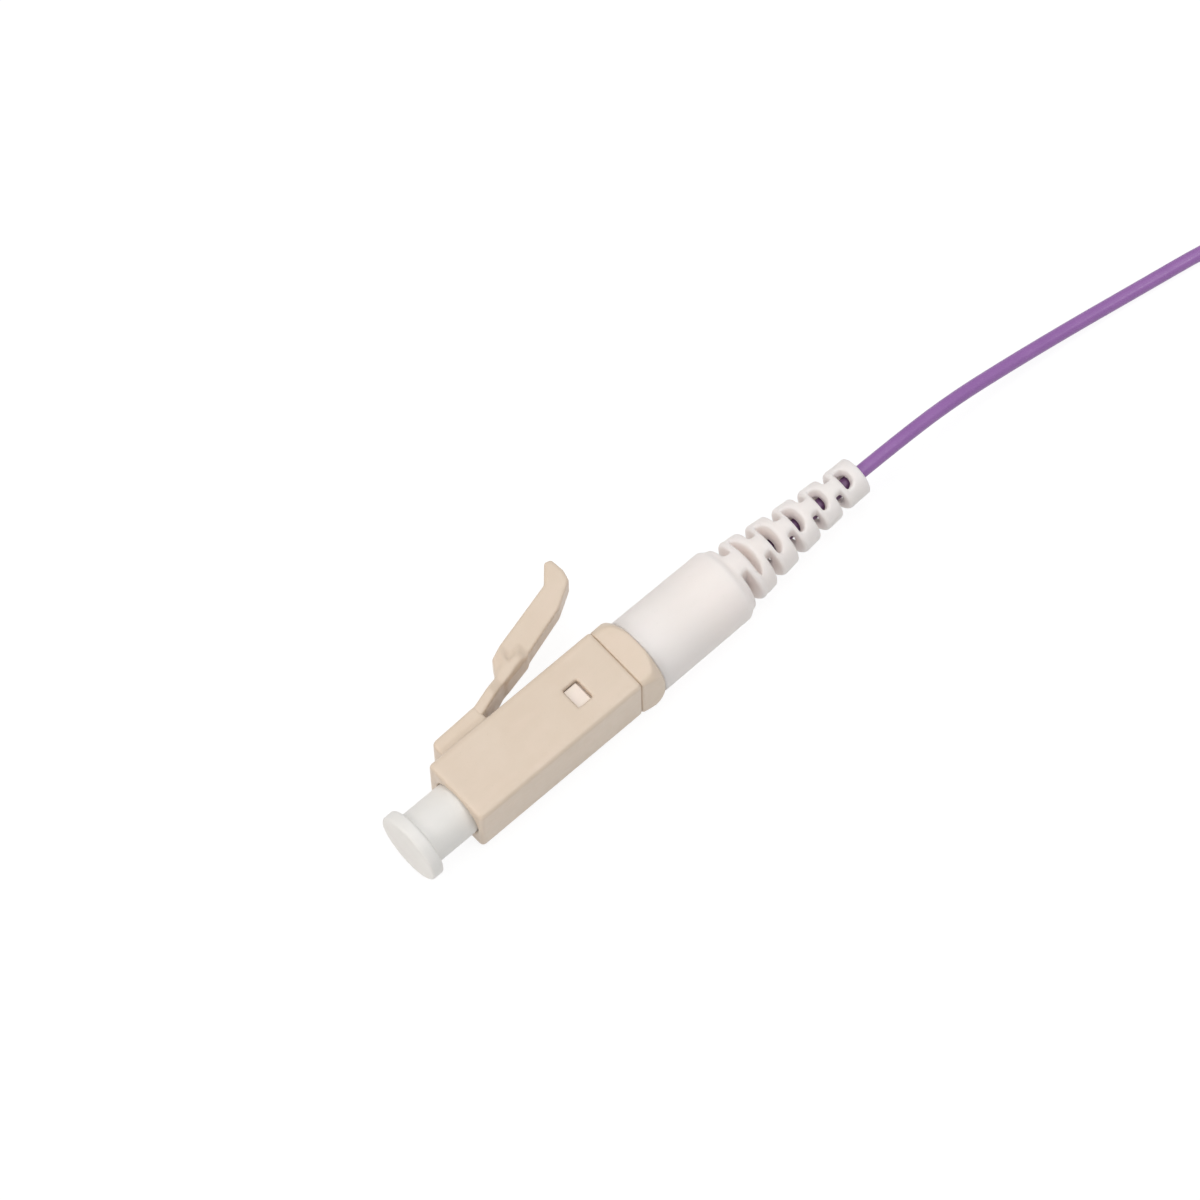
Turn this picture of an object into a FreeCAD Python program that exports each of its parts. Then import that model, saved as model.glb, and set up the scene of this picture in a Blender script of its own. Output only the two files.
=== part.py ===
import FreeCAD, Part

import math
import os

import Sketcher
from FreeCAD import Placement, Rotation, Vector

# An LC fibre plug on a 0.9 mm buffered fibre pigtail, lying on its side.
# Millimetres. X runs rearward along the fibre from the housing's front face,
# Y points to the latch side, Z up. The ferrule's axis is the X axis.

# Driving dimensions, kept in the document's sheet.
SIZES = {
    # housing
    "plug_width": 4.5,  # square section, side to side
    "plug_length": 12.9,  # front face to the seam with the collar
    "plug_rise": 0.3,  # the latch side stands out this much more than the others
    "plug_edge": 0.35,  # radius of the four long edges
    "nose_edge": 0.15,  # radius round the front face
    "cavity_wall": 0.55,  # wall round the rear cavity
    "socket_bore": 3.64,  # front socket, where the cap's stem goes
    "socket_depth": 2.8,
    "web_wall": 0.5,  # wall between the front socket and the rear cavity
    "web_gap": 0.15,  # clearance round the ferrule in the web
    "window_length": 1.13,  # snap windows, along the plug
    "window_width": 1.5,
    "window_setback": 3.2,  # window's middle to the seam
    # latch root block on the housing's top
    "root_front": 1.22,
    "root_end": 4.8,
    "root_width": 3.1,
    "root_fall": 0.11,  # the block's front edge below the arm's top
    "root_nose": 0.35,  # radius of the block's top front edge
    "slot_gap": 0.47,  # arm's underside above the housing at the root
    # latch arm, measured from its hinge line
    "arm_thick": 0.77,
    "arm_width": 2.5,  # from the ramp on; it tapers to this from the root's width
    "taper_start": 1.4,  # the arm keeps the root's width over this much
    "arm_clearance": 0.04,  # round the arm's knuckle
    "arm_reach": 4.6,  # hinge to the rear face of the catch lugs
    "arm_rise": 1.24,  # climb of the arm's underside over that reach
    "lug_height": 0.77,  # catch lug's rear face
    "lug_step": 0.85,  # lug's rear face behind the shoulder's
    "ledge_fall": 0.17,  # lug's top falls this much forward to the shoulder
    "shoulder_height": 0.7,
    "ramp_start": 2.2,
    "ramp_rise": 0.72,  # climb of the arm's underside up to the ramp
    "ramp_thin": 0.07,  # how much thinner the arm is there
    # thumb pad on the arm
    "pad_width": 1.8,
    "pad_lap": 0.1,  # ramp to the pad's foot
    "pad_front": 2.95,
    "pad_front_rise": 1.12,  # climb of the pad's steep front from the ramp
    "pad_crest": 3.9,
    "pad_crest_rise": 0.38,  # crest above the top of that front
    "pad_slope": 0.252,  # rise over run of the long top
    "pad_reach": 8.5,  # hinge to where the pad turns up
    "pad_thick": 1.79,
    "pad_under": 0.35,  # underside's turn in front of the top's
    "hook_reach": 10.05,  # hinge to the hook's rearmost point
    "hook_rise": 1.1,  # hook's tip above the pad's top
    "hook_lean": 0.55,  # tip in front of the rearmost point
    "hook_lip": 0.15,  # lip's rear corner below the tip
    "hook_lip_lean": 0.1,
    "hook_depth": 1.15,  # rearmost point below the tip
    "hook_heel": 0.75,  # heel below the rearmost point
    "hook_heel_lean": 0.2,
    "hook_round": 0.22,
    # rear collar
    "collar_length": 1.6,
    "collar_corner": 0.38,
    "collar_swell": 0.6,  # share of the length over which the collar swells out
    "swell_inset": 0.12,  # swollen flats inside the round end's radius
    "swell_corner": 0.32,  # corner radius there as a share of the half width
    "rear_radius": 2.6,  # collar's round end and the boot's front
    # inner body
    "inner_gap": 0.03,  # inner body inside the housing's cavity
    "inner_length": 5.5,  # block inside the housing
    "tab_recess": 0.35,  # tab's face below the housing's side
    "tab_gap": 0.07,  # round the tab in its window
    "tab_rear_gap": 0.14,
    "neck_diameter": 3.4,
    "neck_length": 5.5,
    "neck_gap": 0.03,
    "barb_height": 0.2,
    "barb_length": 0.8,
    "barb_setback": 0.9,
    "seat_setback": 2.0,  # spring seat to the seam
    # ferrule group
    "ferrule_diameter": 1.25,
    "ferrule_length": 6.4,
    "ferrule_stand": 1.5,  # tip in front of the housing's face
    "ferrule_lead": 0.25,  # tip's chamfer, along the ferrule
    "ferrule_lead_depth": 0.175,
    "fibre_diameter": 0.125,
    "glass_lap": 1.2,  # bare glass inside the buffer
    "head_flats": 2.3,  # flange's hexagon across flats
    "head_length": 1.5,
    "barrel_diameter": 1.7,
    "barrel_gap": 1.6,  # barrel's end to the spring seat
    "float_travel": 0.6,
    # spring
    "wire_diameter": 0.25,
    "spring_loose": 0.125,  # between the spring and the barrel
    "spring_pitch": 0.75,
    "spring_gap": 0.15,  # between the spring and its bore
    "spring_end_gap": 0.02,
    # buffered fibre
    "buffer_diameter": 0.9,
    "buffer_gap": 0.05,  # in the flange's barrel
    "buffer_loose": 0.15,  # in the neck and the boot
    "buffer_setback": 0.3,  # buffer's front behind the ferrule at full float
    "glass_room": 0.4,  # beyond the glass at full float
    # boot
    "boot_barrel": 7.4,  # collar to the start of the tail
    "boot_draft": 0.05,
    "boot_round": 0.4,
    "boot_shoulder": 0.1,  # length of the step down to the tail
    "boot_room": 0.3,  # bore beyond the neck's end
    "boot_funnel": 0.8,  # length over which the bore narrows
    "tail_length": 10.6,
    "tail_step": 0.25,  # tail's front below the barrel's rear end
    "tail_end": 1.3,
    "tail_curve": 1.6,  # how much faster the tail narrows at its front
    "slot_width": 0.5,
    "slot_start": 0.55,  # first notch behind the tail's start
    "slot_end": 1.095,  # last window before the tail's end
    "notch_wall": 0.23,  # first notch's floor outside the bore
    "notch_deeper": 0.045,  # each further notch, deeper by this
    "window_rim": 0.65,  # window's end inside the tail's surface
    # dust cap
    "cap_gap": 0.03,  # stem in the socket, ferrule in the cap
    "cap_stem": 3.05,  # stem's visible length
    "cap_insert": 2.5,
    "cap_flange": 4.72,
    "cap_flange_thick": 0.9,
    "cap_round": 0.2,
    "cap_hollow": 0.5,  # space in front of the ferrule's tip
    # coil and its tie
    "coil_radius": 5.4,  # middle of the turns
    "coil_slack": 0.3,  # turns side by side take this much more than their diameters
    "coil_round": 0.7,
    "tie_thick": 0.15,
    "tie_width": 1.6,
}

# The free fibre's route from inside the boot's end to where it joins the coil.
FIBRE_ROUTE = [
    (32.0, 0.0, 0.0),
    (36.2, 0.0, -0.1),
    (40.6, -0.05, -0.62),
    (45.2, -0.42, -1.35),
    (49.8, -0.95, -1.9),
    (54.4, -1.68, -2.15),
    (60.8, -2.80, -2.15),
    (64.4, -4.20, -2.12),
    (68.0, -6.05, -2.06),
    (71.45, -7.82, -2.0),
    (73.53, -8.13, -2.0),
]
COIL_CENTRE = (74.0, -0.4)
FLOOR = -2.6  # the boot's underside lies on the surface
TIE_ANGLE = 60.0  # where the tie goes round the coil, degrees from +X
COIL_TURNS = 6  # side by side in a layer
COIL_LAYERS = 5
SLOT_PAIRS = 5  # notches and windows in turn along the boot's tail
BEYOND = 1.0  # how far a cut starts or ends outside what it cuts

doc = FreeCAD.newDocument("lc_fibre_plug")
sheet = doc.addObject("Spreadsheet::Sheet", "Sizes")
for row, (alias, number) in enumerate(SIZES.items(), 1):
    sheet.set(f"A{row}", alias)
    sheet.set(f"B{row}", str(number))
    sheet.setAlias(f"B{row}", alias)
doc.recompute()


class Size:
    """A length with the expression that the document keeps and its present number."""

    def __init__(self, text, number):
        self.text = text
        self.number = number

    def join(self, sign, other, number):
        text = other.text if isinstance(other, Size) else str(float(other))
        return Size(f"({self.text} {sign} {text})", number)

    def __add__(self, other):
        return self.join("+", other, self.number + plain(other))

    def __sub__(self, other):
        return self.join("-", other, self.number - plain(other))

    def __mul__(self, other):
        return self.join("*", other, self.number * plain(other))

    def __truediv__(self, other):
        return self.join("/", other, self.number / plain(other))

    def __neg__(self):
        return Size(f"(-1 * {self.text})", -self.number)


def plain(length):
    return length.number if isinstance(length, Size) else float(length)


def size(alias):
    return Size(f"Sizes.{alias}", SIZES[alias])


def fixed(number):
    return Size(str(float(number)), float(number))


def bind(item, property_name, length):
    item.setExpression(property_name, length.text)


def new_body(label):
    body = doc.addObject("PartDesign::Body", label)
    body.Label = label
    return body


def new_sketch(body, name, role, offset=None):
    """A sketch on one of the body's own origin planes, moved along the plane's normal."""
    sketch = body.newObject("Sketcher::SketchObject", name)
    plane = next(item for item in body.Origin.OriginFeatures if item.Role == role)
    sketch.AttachmentSupport = (plane, [""])
    sketch.MapMode = "FlatFace"
    if offset is not None:
        bind(sketch, "AttachmentOffset.Base.z", offset)
    return sketch


def pin_point(sketch, line, point, across, up):
    """Ties a point of the sketch to two lengths from the origin."""
    for kind, length in (("DistanceX", across), ("DistanceY", up)):
        rule = Sketcher.Constraint(kind, -1, 1, line, point, length.number)
        index = sketch.addConstraint(rule)
        sketch.setExpression(f"Constraints[{index}]", length.text)


def draw_outline(sketch, corners):
    """A closed outline of straight lines with every corner tied to the sheet."""
    first = sketch.GeometryCount
    spots = [Vector(across.number, up.number, 0) for across, up in corners]
    for here, there in zip(spots, spots[1:] + spots[:1]):
        sketch.addGeometry(Part.LineSegment(here, there), False)
    for step in range(len(corners)):
        line, following = first + step, first + (step + 1) % len(corners)
        sketch.addConstraint(Sketcher.Constraint("Coincident", line, 2, following, 1))
    for step, (across, up) in enumerate(corners):
        pin_point(sketch, first + step, 1, across, up)


def draw_box(sketch, low_across, low_up, high_across, high_up):
    draw_outline(sketch, [(low_across, low_up), (high_across, low_up),
                          (high_across, high_up), (low_across, high_up)])


def draw_circle(sketch, diameter, across=fixed(0), up=fixed(0)):
    centre = Vector(across.number, up.number, 0)
    circle = Part.Circle(centre, Vector(0, 0, 1), diameter.number / 2)
    index = sketch.addGeometry(circle, False)
    pin_point(sketch, index, 3, across, up)
    rule = sketch.addConstraint(Sketcher.Constraint("Diameter", index, diameter.number))
    sketch.setExpression(f"Constraints[{rule}]", diameter.text)


def draw_polygon(sketch, flats, sides):
    """A regular polygon about the origin, given across its flats."""
    reach = flats / (2 * math.cos(math.pi / sides))
    turns = [2 * math.pi * side / sides for side in range(sides)]
    draw_outline(sketch, [(reach * math.cos(turn), reach * math.sin(turn)) for turn in turns])


def pad(body, name, sketch, length, both_ways=False):
    feature = body.newObject("PartDesign::Pad", name)
    feature.Profile = sketch
    feature.Midplane = both_ways
    bind(feature, "Length", length)
    return feature


def pocket(body, name, sketch, length, both_ways=False, forward=False):
    """Cuts along the sketch's normal backwards, or forwards, or both ways from its plane."""
    doc.recompute()
    before = body.Tip.Shape.Volume
    feature = body.newObject("PartDesign::Pocket", name)
    feature.Profile = sketch
    feature.Midplane = both_ways
    feature.Reversed = forward
    bind(feature, "Length", length)
    doc.recompute()
    if not feature.Shape.Volume < before - 1e-6:
        print("pocket cuts nothing:", body.Label, name)
    return feature


def revolve(body, name, sketch, axis="H_Axis", angle=None):
    feature = body.newObject("PartDesign::Revolution", name)
    feature.Profile = sketch
    feature.ReferenceAxis = (sketch, [axis])
    feature.Angle = 360.0
    if angle is not None:
        feature.Midplane = True
        bind(feature, "Angle", angle)
    return feature


def round_edges(body, name, radius, wanted):
    """Rounds those edges of the body's last feature that the test picks."""
    doc.recompute()
    last = body.Tip
    names = [f"Edge{number}" for number, edge in enumerate(last.Shape.Edges, 1) if wanted(edge)]
    feature = body.newObject("PartDesign::Fillet", name)
    feature.Base = (last, names)
    bind(feature, "Radius", radius)
    doc.recompute()
    return feature


def near(one, other):
    return abs(one - plain(other)) < 1e-4


def along(edge, axis):
    """Whether an edge is a straight line along an axis."""
    if edge.Curve.TypeId != "Part::GeomLine":
        return False
    return abs(edge.tangentAt(edge.FirstParameter).dot(axis)) > 0.9999


ALONG_X = Vector(1, 0, 0)
ALONG_Z = Vector(0, 0, 1)

# Places that several pieces share.
plug_half = size("plug_width") / 2
seam = size("plug_length")
cavity_front = size("socket_depth") + size("web_wall")
cavity_width = size("plug_width") - size("cavity_wall") * 2
window_middle = seam - size("window_setback")
spring_seat = seam - size("seat_setback")
hinge_x = size("root_end")
plug_top = plug_half + size("plug_rise")
arm_low = plug_top + size("slot_gap")
hinge_y = arm_low + size("arm_thick") / 2
arm_top = arm_low + size("arm_thick")
collar_rear = seam + size("collar_length")
neck_end = seam + size("neck_length")
ferrule_rear = size("ferrule_length") - size("ferrule_stand")
barrel_end = spring_seat - size("barrel_gap")
buffer_front = ferrule_rear + size("float_travel") + size("buffer_setback")
glass_end = buffer_front + size("glass_lap")
buffer_hole = size("buffer_diameter") + size("buffer_loose") * 2
tail_start = collar_rear + size("boot_barrel")
barrel_rear = size("rear_radius") - size("boot_draft")
tail_front = barrel_rear - size("tail_step")
boot_end = tail_start + size("tail_length")
spring_middle = size("barrel_diameter") + size("spring_loose") * 2 + size("wire_diameter")
spring_bore = spring_middle + size("wire_diameter") + size("spring_gap") * 2
barb_middle = neck_end - size("barb_setback")
barb_diameter = size("neck_diameter") + size("barb_height") * 2


def plug_housing():
    body = new_body("plug_housing")
    section = new_sketch(body, "HousingSection", "YZ_Plane")
    draw_box(section, -plug_half, -plug_half, plug_top, plug_half)
    pad(body, "HousingPad", section, seam)
    round_edges(body, "HousingLongEdges", size("plug_edge"), lambda edge: along(edge, ALONG_X))
    round_edges(body, "HousingNose", size("nose_edge"),
                lambda edge: near(edge.BoundBox.XMax, 0.0) and near(edge.BoundBox.XMin, 0.0))
    # the latch's root block, sunk into the top so that the two fuse
    block = new_sketch(body, "RootOutline", "XY_Plane")
    front_top = arm_top - size("root_fall")
    draw_outline(block, [(size("root_front"), plug_top - size("plug_edge")),
                         (size("root_end"), plug_top - size("plug_edge")),
                         (size("root_end"), arm_top), (size("root_front"), front_top)])
    pad(body, "RootPad", block, size("root_width"), both_ways=True)
    round_edges(body, "RootNose", size("root_nose"),
                lambda edge: along(edge, ALONG_Z) and near(edge.BoundBox.XMin, size("root_front"))
                and near(edge.BoundBox.YMin, front_top))
    knuckle = new_sketch(body, "KnuckleSeat", "XY_Plane")
    draw_circle(knuckle, size("arm_thick") + size("arm_clearance") * 2, hinge_x, hinge_y)
    pocket(body, "KnucklePocket", knuckle, size("plug_width"), both_ways=True)
    socket = new_sketch(body, "SocketCircle", "YZ_Plane")
    draw_circle(socket, size("socket_bore"))
    pocket(body, "SocketPocket", socket, size("socket_depth"), forward=True)
    hole = new_sketch(body, "WebHole", "YZ_Plane")
    draw_circle(hole, size("ferrule_diameter") + size("web_gap") * 2)
    pocket(body, "WebPocket", hole, cavity_front, forward=True)
    cavity = new_sketch(body, "CavitySection", "YZ_Plane", cavity_front)
    half = cavity_width / 2
    draw_box(cavity, -half, -half, half, half)
    pocket(body, "CavityPocket", cavity, seam - cavity_front, forward=True)
    window = new_sketch(body, "WindowOutline", "XY_Plane")
    draw_box(window, window_middle - size("window_length") / 2, -size("window_width") / 2,
             window_middle + size("window_length") / 2, size("window_width") / 2)
    pocket(body, "WindowPocket", window, size("plug_width") + BEYOND, both_ways=True)
    return body


def latch_arm():
    """The cantilever latch behind its flexing root, with shoulders, catch lugs and thumb pad."""
    body = new_body("latch_arm")
    lug_x = hinge_x + size("arm_reach")
    lug_low = arm_low + size("arm_rise")
    lug_top = lug_low + size("lug_height")
    ledge_y = lug_top - size("ledge_fall")
    shoulder_x = lug_x - size("lug_step")
    shoulder_y = ledge_y + size("shoulder_height")
    ramp_x = hinge_x + size("ramp_start")
    ramp_low = arm_low + size("ramp_rise")
    ramp_top = ramp_low + size("arm_thick") - size("ramp_thin")
    arm = new_sketch(body, "ArmOutline", "XY_Plane")
    draw_outline(arm, [(hinge_x, arm_low), (ramp_x, ramp_low), (lug_x, lug_low), (lug_x, lug_top),
                       (shoulder_x, ledge_y), (shoulder_x, shoulder_y),
                       (ramp_x, ramp_top), (hinge_x, arm_top)])
    pad(body, "ArmPad", arm, size("root_width"), both_ways=True)
    knuckle = new_sketch(body, "KnuckleCircle", "XY_Plane")
    draw_circle(knuckle, size("arm_thick"), hinge_x, hinge_y)
    pad(body, "KnucklePad", knuckle, size("root_width"), both_ways=True)
    # each side is cut back from the root's width to the arm's
    taper = new_sketch(body, "TaperOutlines", "XZ_Plane")
    half_root, half_arm = size("root_width") / 2, size("arm_width") / 2
    outside, behind = half_root + BEYOND, lug_x + BEYOND
    taper_x = hinge_x + size("taper_start")
    draw_outline(taper, [(taper_x, half_root), (ramp_x, half_arm), (behind, half_arm),
                         (behind, outside), (taper_x, outside)])
    draw_outline(taper, [(taper_x, -half_root), (taper_x, -outside), (behind, -outside),
                         (behind, -half_arm), (ramp_x, -half_arm)])
    pocket(body, "TaperPocket", taper, (shoulder_y + BEYOND) * 2, both_ways=True)
    # the thumb pad: steep front, long rising top and a hook turned up at its end
    front_x, front_y = hinge_x + size("pad_front"), ramp_top + size("pad_front_rise")
    crest_x, crest_y = hinge_x + size("pad_crest"), front_y + size("pad_crest_rise")
    turn_x = hinge_x + size("pad_reach")
    turn_y = crest_y + (turn_x - crest_x) * size("pad_slope")
    tip_y = turn_y + size("hook_rise")
    rearmost_x, rearmost_y = hinge_x + size("hook_reach"), tip_y - size("hook_depth")
    foot_x = ramp_x + size("pad_lap")
    outline = new_sketch(body, "PadOutline", "XY_Plane")
    draw_outline(outline, [(foot_x, ramp_top), (front_x, front_y), (crest_x, crest_y), (turn_x, turn_y),
                           (rearmost_x - size("hook_lean"), tip_y),
                           (rearmost_x - size("hook_lip_lean"), tip_y - size("hook_lip")),
                           (rearmost_x, rearmost_y),
                           (rearmost_x - size("hook_heel_lean"), rearmost_y - size("hook_heel")),
                           (turn_x - size("pad_under"), turn_y - size("pad_thick")),
                           (lug_x, lug_low), (foot_x, ramp_low)])
    pad(body, "PadPad", outline, size("pad_width"), both_ways=True)
    lip_y = plain(tip_y - size("hook_lip"))
    round_edges(body, "HookRound", size("hook_round"),
                lambda edge: along(edge, ALONG_Z) and edge.BoundBox.YMin > lip_y - 1e-4)
    return body


def rounded_square(x, half, corner, rise=0.0):
    """Eight edges in a plane across the X axis: flats joined by corner arcs, the +Y side moved out."""
    inner = half - corner
    edges = []

    def place(turn, spot):
        turned = turn.multVec(spot)
        return turned + Vector(0, rise if turned.y > 0 else 0, 0)

    for quarter in range(4):
        turn = Rotation(ALONG_X, 90.0 * quarter)
        flat = [Vector(x, half, -inner), Vector(x, half, inner)]
        arc = [Vector(x, half, inner),
               Vector(x, inner + corner * math.cos(math.pi / 4), inner + corner * math.sin(math.pi / 4)),
               Vector(x, inner, half)]
        edges.append(Part.makeLine(*[place(turn, spot) for spot in flat]))
        edges.append(Part.Arc(*[place(turn, spot) for spot in arc]).toShape())
    return Part.Wire(edges)


def eighth_arcs(x, radius, flat_half_angle):
    """A circle across the X axis in eight arcs that match a rounded square's edges."""
    edges = []
    for quarter in range(4):
        middle = 90.0 * quarter
        stops = [middle - flat_half_angle, middle + flat_half_angle, middle + 90.0 - flat_half_angle]
        for start, stop in zip(stops, stops[1:]):
            spots = [Vector(x, radius * math.cos(math.radians(a)), radius * math.sin(math.radians(a)))
                     for a in (start, (start + stop) / 2, stop)]
            edges.append(Part.Arc(*spots).toShape())
    return Part.Wire(edges)


def rear_collar():
    """The ring behind the housing: square at the seam, round where it meets the boot."""
    front, rear = plain(seam), plain(collar_rear)
    half, corner, radius = SIZES["plug_width"] / 2, SIZES["collar_corner"], SIZES["rear_radius"]
    swell_x = front + (rear - front) * SIZES["collar_swell"]
    swell_half = radius - SIZES["swell_inset"]
    swell_corner = swell_half * SIZES["swell_corner"]
    flat_angle = math.degrees(math.atan2(half - corner, half))
    skin = Part.makeLoft([rounded_square(front, half, corner, SIZES["plug_rise"]),
                          rounded_square(swell_x, swell_half, swell_corner),
                          eighth_arcs(rear, radius, flat_angle)], True, True)
    bore = Part.makeCylinder(SIZES["neck_diameter"] / 2 + SIZES["neck_gap"], rear - front,
                             Vector(front, 0, 0), ALONG_X)
    collar = doc.addObject("Part::Feature", "rear_collar")
    collar.Label = "rear_collar"
    collar.Shape = skin.cut(bore)
    return collar


def inner_body():
    """The spring's housing: a block in the cavity, tabs in the windows and a neck for the boot."""
    body = new_body("inner_body")
    block_front = seam - size("inner_length")
    half = cavity_width / 2 - size("inner_gap")
    block = new_sketch(body, "BlockSection", "YZ_Plane", block_front)
    draw_box(block, -half, -half, half, half)
    pad(body, "BlockPad", block, size("inner_length"))
    tabs = new_sketch(body, "TabOutline", "XY_Plane")
    half_tab = size("window_width") / 2 - size("tab_gap")
    draw_box(tabs, window_middle - size("window_length") / 2 + size("tab_gap"), -half_tab,
             window_middle + size("window_length") / 2 - size("tab_rear_gap"), half_tab)
    pad(body, "TabPad", tabs, size("plug_width") - size("tab_recess") * 2, both_ways=True)
    neck = new_sketch(body, "NeckSection", "YZ_Plane", seam)
    draw_circle(neck, size("neck_diameter"))
    pad(body, "NeckPad", neck, size("neck_length"))
    barb = new_sketch(body, "BarbSection", "YZ_Plane", barb_middle - size("barb_length") / 2)
    draw_circle(barb, barb_diameter)
    pad(body, "BarbPad", barb, size("barb_length"))
    doc.recompute()
    spring_room = new_sketch(body, "SpringRoom", "YZ_Plane", block_front)
    draw_circle(spring_room, spring_bore)
    pocket(body, "SpringPocket", spring_room, spring_seat - block_front, forward=True)
    passage = new_sketch(body, "Passage", "YZ_Plane", spring_seat)
    draw_circle(passage, buffer_hole)
    pocket(body, "PassagePocket", passage, neck_end - spring_seat, forward=True)
    return body


def ferrule():
    """The zirconia ferrule, chamfered at its tip and drilled for the bare fibre."""
    body = new_body("ferrule")
    tip = -size("ferrule_stand")
    radius = size("ferrule_diameter") / 2
    section = new_sketch(body, "FerruleSection", "XY_Plane")
    draw_outline(section, [(tip, size("fibre_diameter") / 2), (ferrule_rear, size("fibre_diameter") / 2),
                           (ferrule_rear, radius), (tip + size("ferrule_lead"), radius),
                           (tip, radius - size("ferrule_lead_depth"))])
    revolve(body, "FerruleTurn", section)
    return body


def ferrule_flange():
    """The metal flange pressed on the ferrule: a hexagonal head and a barrel for the buffer."""
    body = new_body("ferrule_flange")
    head_rear = cavity_front + size("head_length")
    head = new_sketch(body, "HeadSection", "YZ_Plane", cavity_front)
    draw_polygon(head, size("head_flats"), 6)
    pad(body, "HeadPad", head, size("head_length"))
    barrel = new_sketch(body, "BarrelSection", "YZ_Plane", head_rear)
    draw_circle(barrel, size("barrel_diameter"))
    pad(body, "BarrelPad", barrel, barrel_end - head_rear)
    doc.recompute()
    press = new_sketch(body, "FerruleSeat", "YZ_Plane", cavity_front)
    draw_circle(press, size("ferrule_diameter"))
    pocket(body, "FerrulePocket", press, ferrule_rear - cavity_front, forward=True)
    bore = new_sketch(body, "BufferBore", "YZ_Plane", ferrule_rear)
    draw_circle(bore, size("buffer_diameter") + size("buffer_gap") * 2)
    pocket(body, "BufferPocket", bore, barrel_end - ferrule_rear, forward=True)
    return body


def spring():
    """The coil spring round the barrel, between the flange's head and the seat."""
    wire_radius = size("wire_diameter") / 2
    from_end = wire_radius + size("spring_end_gap")
    start = cavity_front + size("head_length") + from_end
    path = doc.addObject("Part::Helix", "SpringPath")
    bind(path, "Radius", spring_middle / 2)
    bind(path, "Pitch", size("spring_pitch"))
    bind(path, "Height", spring_seat - from_end - start)
    wire = doc.addObject("Part::Circle", "SpringWire")
    bind(wire, "Radius", wire_radius)
    # the wire's section stands across the helix where it starts
    lead = math.degrees(math.atan2(SIZES["spring_pitch"], math.pi * plain(spring_middle)))
    wire.Placement = Placement(Vector(0, 0, 0), Rotation(ALONG_X, 90.0 + lead))
    bind(wire, "Placement.Base.x", spring_middle / 2)
    coil = doc.addObject("Part::Sweep", "spring")
    coil.Label = "spring"
    coil.Sections = [wire]
    coil.Spine = (path, [])
    coil.Solid = True
    coil.Frenet = True
    coil.Placement = Placement(Vector(0, 0, 0), Rotation(Vector(0, 1, 0), 90))
    bind(coil, "Placement.Base.x", start)
    return coil


def glass_fibre():
    """The stripped fibre bonded in the ferrule, running back into the buffer."""
    rod = doc.addObject("Part::Cylinder", "glass_fibre")
    rod.Label = "glass_fibre"
    bind(rod, "Radius", size("fibre_diameter") / 2)
    bind(rod, "Height", glass_end + size("ferrule_stand"))
    rod.Placement = Placement(Vector(0, 0, 0), Rotation(Vector(0, 1, 0), 90))
    bind(rod, "Placement.Base.x", -size("ferrule_stand"))
    return rod


def buffer_in_plug():
    """The buffered fibre inside the plug, open at its front end for the glass."""
    body = new_body("buffer_in_plug")
    radius = size("buffer_diameter") / 2
    hollow = size("fibre_diameter") / 2 + size("buffer_gap")
    hollow_end = glass_end + size("float_travel") + size("glass_room")
    joint_x = fixed(FIBRE_ROUTE[0][0])
    section = new_sketch(body, "BufferSection", "XY_Plane")
    draw_outline(section, [(buffer_front, hollow), (hollow_end, hollow), (hollow_end, fixed(0)),
                           (joint_x, fixed(0)), (joint_x, radius), (buffer_front, radius)])
    revolve(body, "BufferTurn", section)
    return body


def tail_radius(along_tail):
    """The tail's radius at a distance behind its front: it falls quickly, then levels out."""
    share = along_tail / SIZES["tail_length"]
    return size("tail_end") + (tail_front - size("tail_end")) * (1 - share) ** SIZES["tail_curve"]


def boot():
    """The soft boot: a round barrel over the neck and a slotted, tapering tail."""
    body = new_body("boot")
    bore = size("neck_diameter") / 2 + size("neck_gap")
    groove = barb_diameter / 2 + size("neck_gap")
    groove_half = size("barb_length") / 2 + size("neck_gap")
    narrow = buffer_hole / 2
    room_end = neck_end + size("boot_room")
    shoulder_x = tail_start - size("boot_shoulder")
    stations = [size("tail_length") * (step / 5) for step in range(6)]
    corners = [(collar_rear, bore), (collar_rear, size("rear_radius")), (shoulder_x, barrel_rear)]
    corners += [(tail_start + station, tail_radius(station.number)) for station in stations]
    corners += [(boot_end, narrow), (room_end + size("boot_funnel"), narrow), (room_end, bore),
                (barb_middle + groove_half, bore), (barb_middle + groove_half, groove),
                (barb_middle - groove_half, groove), (barb_middle - groove_half, bore)]
    section = new_sketch(body, "BootSection", "XY_Plane")
    draw_outline(section, corners)
    revolve(body, "BootTurn", section)
    round_edges(body, "BootShoulder", size("boot_round"),
                lambda edge: near(edge.BoundBox.XMin, shoulder_x)
                and near(edge.BoundBox.YMax, barrel_rear) and edge.Curve.TypeId == "Part::GeomCircle")
    # notches from both sides, then windows right through, in turn along the tail
    notches = new_sketch(body, "NotchOutlines", "XY_Plane")
    windows = new_sketch(body, "WindowOutlines", "XY_Plane")
    half_slot = size("slot_width") / 2
    outside = size("rear_radius") + BEYOND
    pitch = (size("tail_length") - size("slot_start") - size("slot_end")) / (SLOT_PAIRS - 0.5)
    for number in range(SLOT_PAIRS):
        notch = size("slot_start") + pitch * number
        floor = narrow + size("notch_wall") - size("notch_deeper") * number
        middle = tail_start + notch
        for low, high in ((floor, outside), (-outside, -floor)):
            draw_box(notches, middle - half_slot, low, middle + half_slot, high)
        window = notch + pitch / 2
        reach = tail_radius(window.number) - size("window_rim")
        middle = tail_start + window
        draw_box(windows, middle - half_slot, -reach, middle + half_slot, reach)
    pocket(body, "NotchPocket", notches, outside * 2, both_ways=True)
    pocket(body, "WindowPocket", windows, outside * 2, both_ways=True)
    return body


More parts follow.
